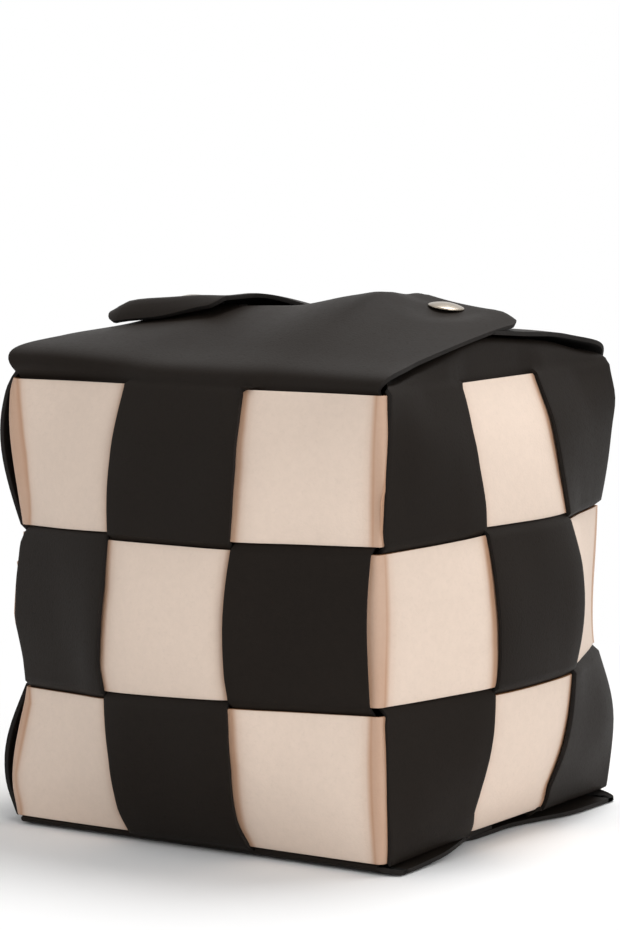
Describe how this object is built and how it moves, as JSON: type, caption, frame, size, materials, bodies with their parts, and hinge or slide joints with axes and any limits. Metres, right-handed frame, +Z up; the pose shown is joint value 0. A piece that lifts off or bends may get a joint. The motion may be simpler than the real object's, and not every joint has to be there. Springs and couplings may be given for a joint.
{
  "type": "tissue box cover",
  "caption": "Puffy cube cover for a tissue box, woven from black and cream leather strips in a checker, with overlapping snap-closed flaps and a dispensing slot on top.",
  "frame": {"origin": "centre of the footprint on the surface that the cover stands on", "axes": "+Z up; -Y towards the front face, the large left-hand face in the picture; +X towards the right-hand face in the picture"},
  "size_m": [0.1634, 0.1614, 0.1586],
  "materials": {
    "black_leather": "matt, fine grain, brown cut edges",
    "cream_leather": "matt, fine grain, brown cut edges",
    "nickel": "satin nickel plate"
  },
  "bodies": {
    "cover": {"front_wall": "black_leather", "rear_wall": "black_leather", "left_wall": "black_leather", "right_wall": "black_leather", "bottom_band": "cream_leather", "middle_band": "cream_leather", "top_band": "cream_leather"},
    "front_top_flap": {"front_top_flap": "black_leather", "top_right_snap_cap": "nickel", "top_right_snap_socket": "nickel", "top_left_snap_stud": "nickel", "top_left_snap_post": "nickel"},
    "rear_top_flap": {"rear_top_flap": "black_leather", "top_left_snap_cap": "nickel", "top_left_snap_socket": "nickel", "top_right_snap_stud": "nickel", "top_right_snap_post": "nickel"},
    "left_top_tuck": {"left_top_tuck": "black_leather"},
    "right_top_tuck": {"right_top_tuck": "black_leather"},
    "front_bottom_flap": {"front_bottom_flap": "black_leather", "bottom_left_snap_cap": "nickel", "bottom_left_snap_socket": "nickel", "bottom_right_snap_stud": "nickel", "bottom_right_snap_post": "nickel"},
    "rear_bottom_flap": {"rear_bottom_flap": "black_leather", "bottom_right_snap_cap": "nickel", "bottom_right_snap_socket": "nickel", "bottom_left_snap_stud": "nickel", "bottom_left_snap_post": "nickel"},
    "left_bottom_tuck": {"left_bottom_tuck": "black_leather"},
    "right_bottom_tuck": {"right_bottom_tuck": "black_leather"}
  },
  "joints": [
    {"name": "front_top_fold", "type": "hinge", "parent": "cover", "child": "front_top_flap", "pos_m": [0, -0.0585, 0.14085], "axis": [1, 0, 0], "range_deg": [0, 110]},
    {"name": "rear_top_fold", "type": "hinge", "parent": "cover", "child": "rear_top_flap", "pos_m": [0, 0.0585, 0.14085], "axis": [-1, 0, 0], "range_deg": [0, 110]},
    {"name": "right_top_fold", "type": "hinge", "parent": "cover", "child": "right_top_tuck", "pos_m": [0.06, 0, 0.13905], "axis": [0, 1, 0], "range_deg": [0, 88]},
    {"name": "left_top_fold", "type": "hinge", "parent": "cover", "child": "left_top_tuck", "pos_m": [-0.06, 0, 0.13905], "axis": [0, -1, 0], "range_deg": [0, 88]},
    {"name": "front_bottom_fold", "type": "hinge", "parent": "cover", "child": "front_bottom_flap", "pos_m": [0, -0.0585, 0], "axis": [-1, 0, 0], "range_deg": [0, 110]},
    {"name": "rear_bottom_fold", "type": "hinge", "parent": "cover", "child": "rear_bottom_flap", "pos_m": [0, 0.0585, 0], "axis": [1, 0, 0], "range_deg": [0, 110]},
    {"name": "right_bottom_fold", "type": "hinge", "parent": "cover", "child": "right_bottom_tuck", "pos_m": [0.06, 0, 0.00295], "axis": [0, -1, 0], "range_deg": [0, 88]},
    {"name": "left_bottom_fold", "type": "hinge", "parent": "cover", "child": "left_bottom_tuck", "pos_m": [-0.06, 0, 0.00295], "axis": [0, 1, 0], "range_deg": [0, 88]}
  ],
  "couplings": [
    {"joint": "rear_top_fold", "follows": "front_top_fold", "ratio": 1},
    {"joint": "right_top_fold", "follows": "front_top_fold", "ratio": 0.8},
    {"joint": "left_top_fold", "follows": "front_top_fold", "ratio": 0.8},
    {"joint": "rear_bottom_fold", "follows": "front_bottom_fold", "ratio": 1},
    {"joint": "right_bottom_fold", "follows": "front_bottom_fold", "ratio": 0.8},
    {"joint": "left_bottom_fold", "follows": "front_bottom_fold", "ratio": 0.8}
  ]
}
